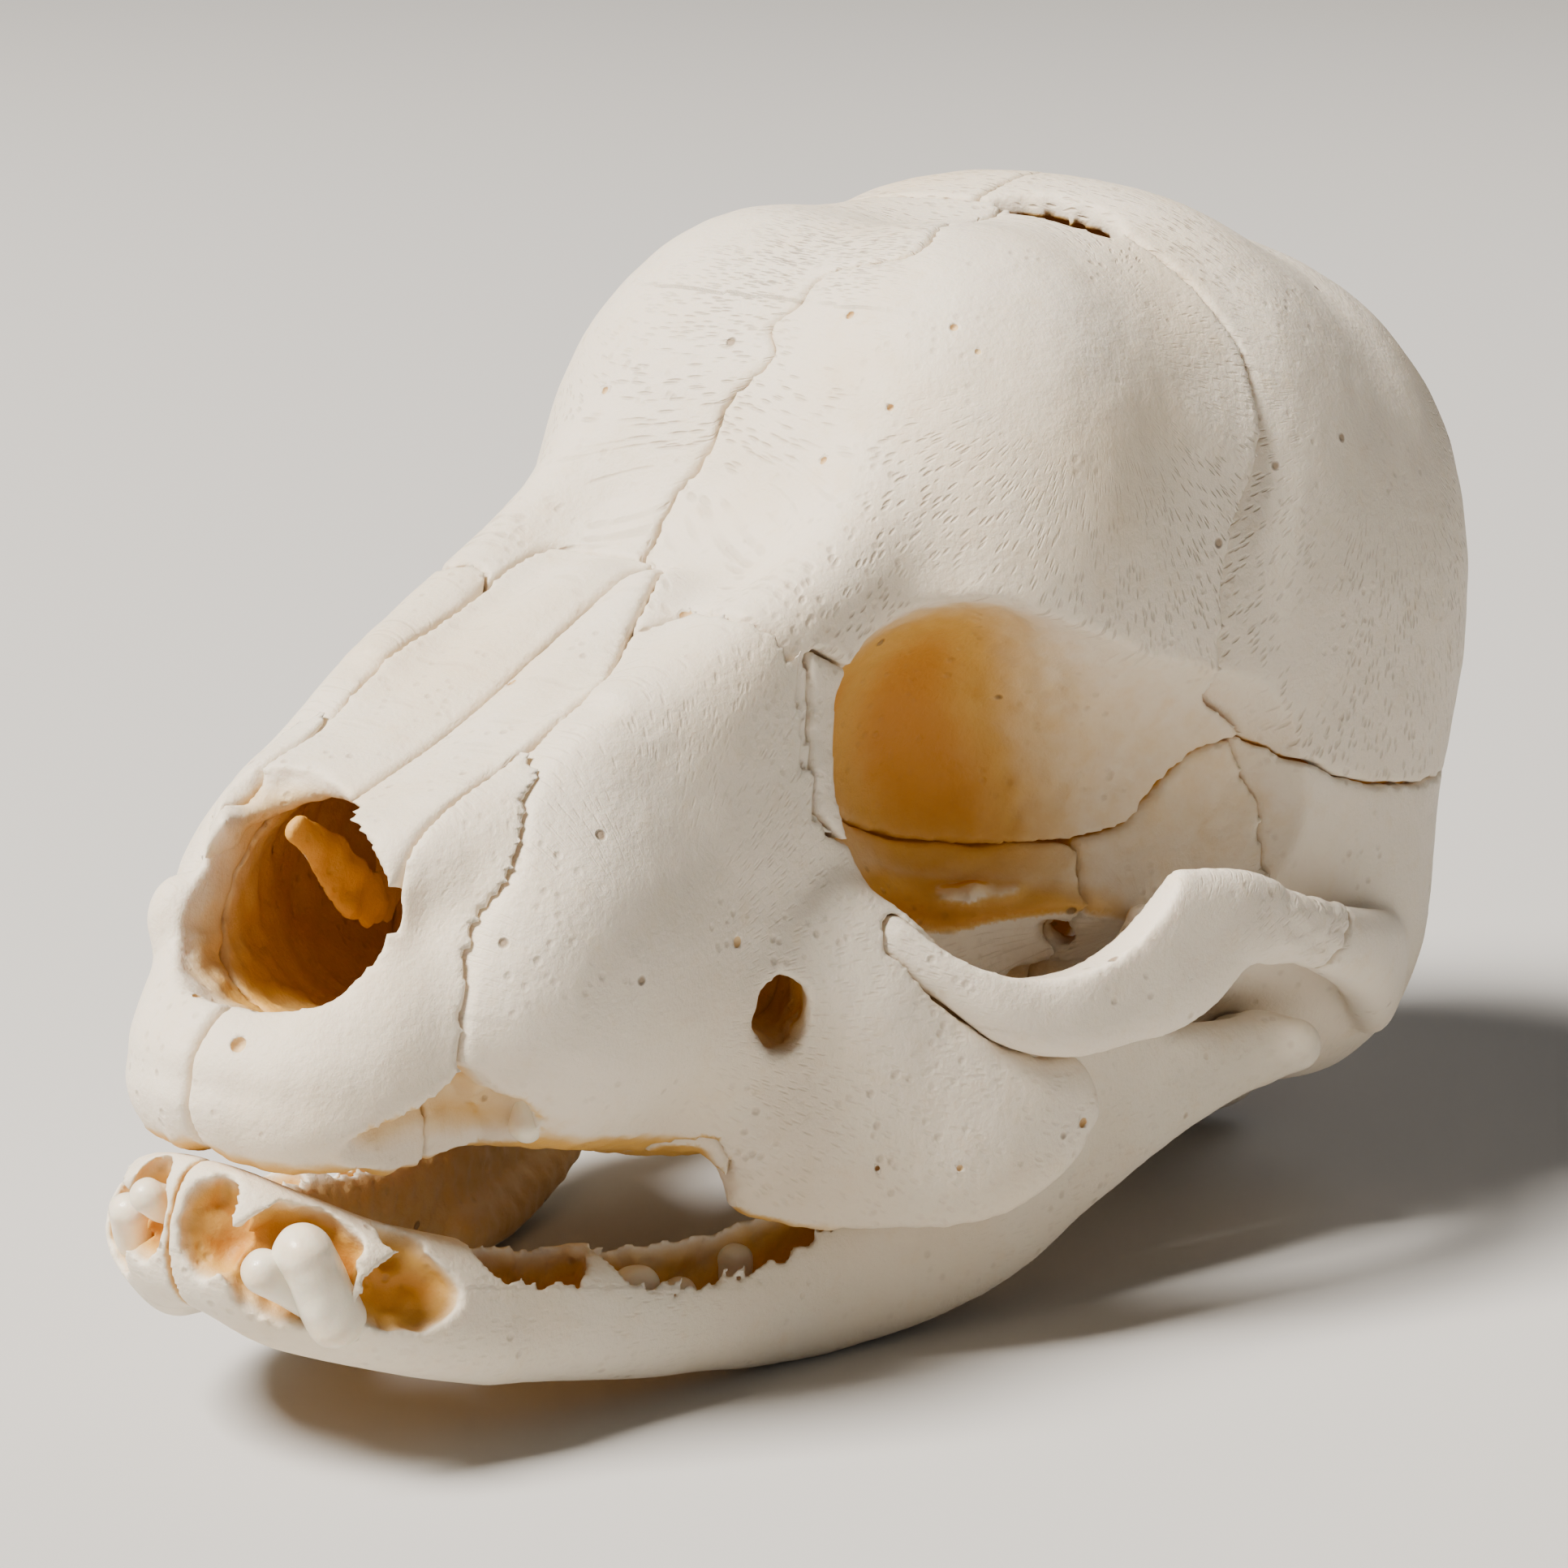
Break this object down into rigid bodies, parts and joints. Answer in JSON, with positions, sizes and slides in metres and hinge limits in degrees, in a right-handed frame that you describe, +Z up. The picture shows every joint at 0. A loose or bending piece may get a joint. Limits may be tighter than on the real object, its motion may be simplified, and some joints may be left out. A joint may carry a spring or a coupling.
{
  "type": "puppy skull",
  "caption": "Dry domed skull of a young puppy with its lower jaw, big round eye sockets, open nose, slender cheek arches and tooth buds in open jaw pockets.",
  "frame": {"origin": "centre of the footprint, on the floor that the skull lies on", "axes": "+Z up, the nose points to -Y, and +X is the animal's left"},
  "size_m": [0.0402, 0.071, 0.0435],
  "materials": {
    "dry_bone": "dry ivory bone, finely pitted, matte with a faint waxy sheen",
    "jaw_bone": "dry bone, creamier, amber inside the tooth pockets",
    "deep_bone": "thin amber bone inside the nose, matte"
  },
  "bodies": {
    "root": {"basioccipital": "dry_bone", "bulla_left": "dry_bone", "bulla_right": "dry_bone", "exoccipital_left": "dry_bone", "exoccipital_right": "dry_bone", "frontal_left": "dry_bone", "frontal_right": "dry_bone", "incisive_left": "dry_bone", "incisive_right": "dry_bone", "lacrimal_left": "dry_bone", "lacrimal_right": "dry_bone", "mandible_left": "jaw_bone", "mandible_right": "jaw_bone", "maxilla_left": "dry_bone", "maxilla_right": "dry_bone", "nasal_left": "dry_bone", "nasal_right": "dry_bone", "palatine_left": "dry_bone", "palatine_right": "dry_bone", "parietal_left": "dry_bone", "parietal_right": "dry_bone", "sphenoid": "dry_bone", "supraoccipital": "dry_bone", "temporal_left": "dry_bone", "temporal_right": "dry_bone", "turbinate_left": "deep_bone", "turbinate_right": "deep_bone", "vomer": "deep_bone", "zygomatic_left": "dry_bone", "zygomatic_right": "dry_bone"}
  },
  "joints": []
}
